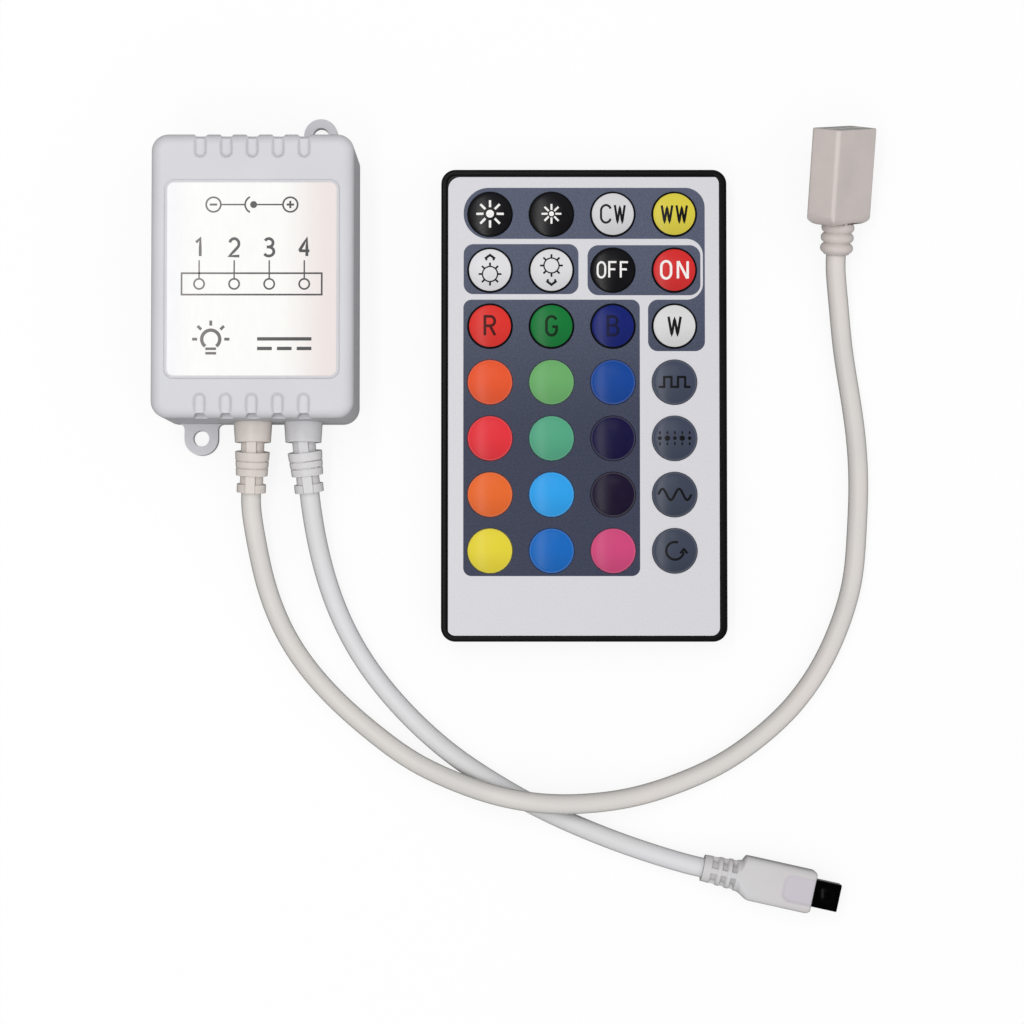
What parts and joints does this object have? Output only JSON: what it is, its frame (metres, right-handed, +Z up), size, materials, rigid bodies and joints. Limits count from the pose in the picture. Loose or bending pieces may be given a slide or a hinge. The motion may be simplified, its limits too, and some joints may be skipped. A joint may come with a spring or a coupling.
{
  "type": "led strip controller",
  "caption": "White plastic controller box with two mounting ears, a barrel power jack, an output lead, an infrared sensor lead and a thin card remote with domed keys.",
  "frame": {"origin": "centre of the underside of the controller box", "axes": "+X towards the remote, +Y towards the power jack end of the box, +Z up, away from the surface that everything lies on"},
  "size_m": [0.1302, 0.1452, 0.02],
  "materials": {
    "case_white": "fine moulded texture",
    "label_film": "glossy printed film",
    "screw_steel": "plated",
    "board_green": "solder mask",
    "black_plastic": "moulded",
    "pin_metal": "plated",
    "spring_brass": "plated",
    "chip_epoxy": "moulded epoxy",
    "capacitor_sleeve": "shrink sleeve",
    "gland_warm": "soft moulded plastic",
    "gland_cool": "soft moulded plastic",
    "wire_red": "extruded",
    "wire_cream": "extruded",
    "lead_sheath": "extruded soft plastic",
    "connector_white": "soft moulded plastic",
    "grip_white": "soft moulded plastic",
    "eye_epoxy": "polished epoxy",
    "remote_black": "fine moulded texture",
    "overlay_film": "printed satin film",
    "keypad_laminate": "phenolic laminate",
    "led_epoxy": "clear tinted epoxy",
    "cell_steel": "brushed",
    "key_black": "printed satin film",
    "key_white": "printed satin film",
    "key_warm_yellow": "printed satin film",
    "key_signal_red": "printed satin film",
    "key_red": "printed satin film",
    "key_green": "printed satin film",
    "key_blue": "printed satin film",
    "key_orange_red": "printed satin film",
    "key_light_green": "printed satin film",
    "key_mid_blue": "printed satin film",
    "key_slate": "printed satin film",
    "key_rose_red": "printed satin film",
    "key_sea_green": "printed satin film",
    "key_navy": "printed satin film",
    "key_orange": "printed satin film",
    "key_sky_blue": "printed satin film",
    "key_purple": "printed satin film",
    "key_yellow": "printed satin film",
    "key_azure": "printed satin film",
    "key_pink": "printed satin film"
  },
  "bodies": {
    "controller": {"base_shell": "case_white", "top_cover": "case_white", "label": "label_film", "cover_screws": "screw_steel", "circuit_board": "board_green", "power_jack": "black_plastic", "jack_centre_pin": "pin_metal", "jack_spring_contact": "spring_brass", "channel_transistors": "chip_epoxy", "microcontroller": "chip_epoxy", "memory_chip": "chip_epoxy", "voltage_regulator": "chip_epoxy", "smoothing_capacitor": "capacitor_sleeve", "output_gland": "gland_warm", "sensor_gland": "gland_cool", "output_wires": "wire_red", "sensor_wires": "wire_cream", "output_lead": "lead_sheath", "sensor_lead": "lead_sheath", "output_connector": "connector_white", "connector_contacts": "spring_brass", "sensor_grip": "grip_white", "sensor_eye": "eye_epoxy"},
    "remote": {"remote_shell": "remote_black", "remote_overlay": "overlay_film", "keypad_board": "keypad_laminate", "dome_contacts": "pin_metal", "remote_chip": "chip_epoxy", "infrared_led": "led_epoxy", "battery_contacts": "pin_metal"},
    "battery_drawer": {"battery_tray": "remote_black", "coin_cell": "cell_steel"},
    "key_bright_full": {"key_bright_full": "key_black"},
    "key_bright_half": {"key_bright_half": "key_black"},
    "key_cool_white": {"key_cool_white": "key_white"},
    "key_warm_white": {"key_warm_white": "key_warm_yellow"},
    "key_brighter": {"key_brighter": "key_white"},
    "key_dimmer": {"key_dimmer": "key_white"},
    "key_off": {"key_off": "key_black"},
    "key_on": {"key_on": "key_signal_red"},
    "key_red": {"key_red": "key_red"},
    "key_green": {"key_green": "key_green"},
    "key_blue": {"key_blue": "key_blue"},
    "key_white": {"key_white": "key_white"},
    "key_orange_red": {"key_orange_red": "key_orange_red"},
    "key_light_green": {"key_light_green": "key_light_green"},
    "key_mid_blue": {"key_mid_blue": "key_mid_blue"},
    "key_mode_one": {"key_mode_one": "key_slate"},
    "key_rose_red": {"key_rose_red": "key_rose_red"},
    "key_sea_green": {"key_sea_green": "key_sea_green"},
    "key_navy": {"key_navy": "key_navy"},
    "key_mode_two": {"key_mode_two": "key_slate"},
    "key_orange": {"key_orange": "key_orange"},
    "key_sky_blue": {"key_sky_blue": "key_sky_blue"},
    "key_purple": {"key_purple": "key_purple"},
    "key_mode_three": {"key_mode_three": "key_slate"},
    "key_yellow": {"key_yellow": "key_yellow"},
    "key_azure": {"key_azure": "key_azure"},
    "key_pink": {"key_pink": "key_pink"},
    "key_mode_four": {"key_mode_four": "key_slate"}
  },
  "joints": [
    {"name": "remote_lift", "type": "slide", "parent": "controller", "child": "remote", "axis": [0, 0, 1], "range_m": [0, 0.05]},
    {"name": "battery_tray_slide", "type": "slide", "parent": "remote", "child": "battery_drawer", "axis": [0, -1, 0], "range_m": [0, 0.0235]},
    {"name": "key_bright_full_press", "type": "slide", "parent": "remote", "child": "key_bright_full", "axis": [0, 0, -1], "range_m": [0, 0.0003], "stiffness_N_per_m": 400},
    {"name": "key_bright_half_press", "type": "slide", "parent": "remote", "child": "key_bright_half", "axis": [0, 0, -1], "range_m": [0, 0.0003], "stiffness_N_per_m": 400},
    {"name": "key_cool_white_press", "type": "slide", "parent": "remote", "child": "key_cool_white", "axis": [0, 0, -1], "range_m": [0, 0.0003], "stiffness_N_per_m": 400},
    {"name": "key_warm_white_press", "type": "slide", "parent": "remote", "child": "key_warm_white", "axis": [0, 0, -1], "range_m": [0, 0.0003], "stiffness_N_per_m": 400},
    {"name": "key_brighter_press", "type": "slide", "parent": "remote", "child": "key_brighter", "axis": [0, 0, -1], "range_m": [0, 0.0003], "stiffness_N_per_m": 400},
    {"name": "key_dimmer_press", "type": "slide", "parent": "remote", "child": "key_dimmer", "axis": [0, 0, -1], "range_m": [0, 0.0003], "stiffness_N_per_m": 400},
    {"name": "key_off_press", "type": "slide", "parent": "remote", "child": "key_off", "axis": [0, 0, -1], "range_m": [0, 0.0003], "stiffness_N_per_m": 400},
    {"name": "key_on_press", "type": "slide", "parent": "remote", "child": "key_on", "axis": [0, 0, -1], "range_m": [0, 0.0003], "stiffness_N_per_m": 400},
    {"name": "key_red_press", "type": "slide", "parent": "remote", "child": "key_red", "axis": [0, 0, -1], "range_m": [0, 0.0003], "stiffness_N_per_m": 400},
    {"name": "key_green_press", "type": "slide", "parent": "remote", "child": "key_green", "axis": [0, 0, -1], "range_m": [0, 0.0003], "stiffness_N_per_m": 400},
    {"name": "key_blue_press", "type": "slide", "parent": "remote", "child": "key_blue", "axis": [0, 0, -1], "range_m": [0, 0.0003], "stiffness_N_per_m": 400},
    {"name": "key_white_press", "type": "slide", "parent": "remote", "child": "key_white", "axis": [0, 0, -1], "range_m": [0, 0.0003], "stiffness_N_per_m": 400},
    {"name": "key_orange_red_press", "type": "slide", "parent": "remote", "child": "key_orange_red", "axis": [0, 0, -1], "range_m": [0, 0.0003], "stiffness_N_per_m": 400},
    {"name": "key_light_green_press", "type": "slide", "parent": "remote", "child": "key_light_green", "axis": [0, 0, -1], "range_m": [0, 0.0003], "stiffness_N_per_m": 400},
    {"name": "key_mid_blue_press", "type": "slide", "parent": "remote", "child": "key_mid_blue", "axis": [0, 0, -1], "range_m": [0, 0.0003], "stiffness_N_per_m": 400},
    {"name": "key_mode_one_press", "type": "slide", "parent": "remote", "child": "key_mode_one", "axis": [0, 0, -1], "range_m": [0, 0.0003], "stiffness_N_per_m": 400},
    {"name": "key_rose_red_press", "type": "slide", "parent": "remote", "child": "key_rose_red", "axis": [0, 0, -1], "range_m": [0, 0.0003], "stiffness_N_per_m": 400},
    {"name": "key_sea_green_press", "type": "slide", "parent": "remote", "child": "key_sea_green", "axis": [0, 0, -1], "range_m": [0, 0.0003], "stiffness_N_per_m": 400},
    {"name": "key_navy_press", "type": "slide", "parent": "remote", "child": "key_navy", "axis": [0, 0, -1], "range_m": [0, 0.0003], "stiffness_N_per_m": 400},
    {"name": "key_mode_two_press", "type": "slide", "parent": "remote", "child": "key_mode_two", "axis": [0, 0, -1], "range_m": [0, 0.0003], "stiffness_N_per_m": 400},
    {"name": "key_orange_press", "type": "slide", "parent": "remote", "child": "key_orange", "axis": [0, 0, -1], "range_m": [0, 0.0003], "stiffness_N_per_m": 400},
    {"name": "key_sky_blue_press", "type": "slide", "parent": "remote", "child": "key_sky_blue", "axis": [0, 0, -1], "range_m": [0, 0.0003], "stiffness_N_per_m": 400},
    {"name": "key_purple_press", "type": "slide", "parent": "remote", "child": "key_purple", "axis": [0, 0, -1], "range_m": [0, 0.0003], "stiffness_N_per_m": 400},
    {"name": "key_mode_three_press", "type": "slide", "parent": "remote", "child": "key_mode_three", "axis": [0, 0, -1], "range_m": [0, 0.0003], "stiffness_N_per_m": 400},
    {"name": "key_yellow_press", "type": "slide", "parent": "remote", "child": "key_yellow", "axis": [0, 0, -1], "range_m": [0, 0.0003], "stiffness_N_per_m": 400},
    {"name": "key_azure_press", "type": "slide", "parent": "remote", "child": "key_azure", "axis": [0, 0, -1], "range_m": [0, 0.0003], "stiffness_N_per_m": 400},
    {"name": "key_pink_press", "type": "slide", "parent": "remote", "child": "key_pink", "axis": [0, 0, -1], "range_m": [0, 0.0003], "stiffness_N_per_m": 400},
    {"name": "key_mode_four_press", "type": "slide", "parent": "remote", "child": "key_mode_four", "axis": [0, 0, -1], "range_m": [0, 0.0003], "stiffness_N_per_m": 400}
  ]
}
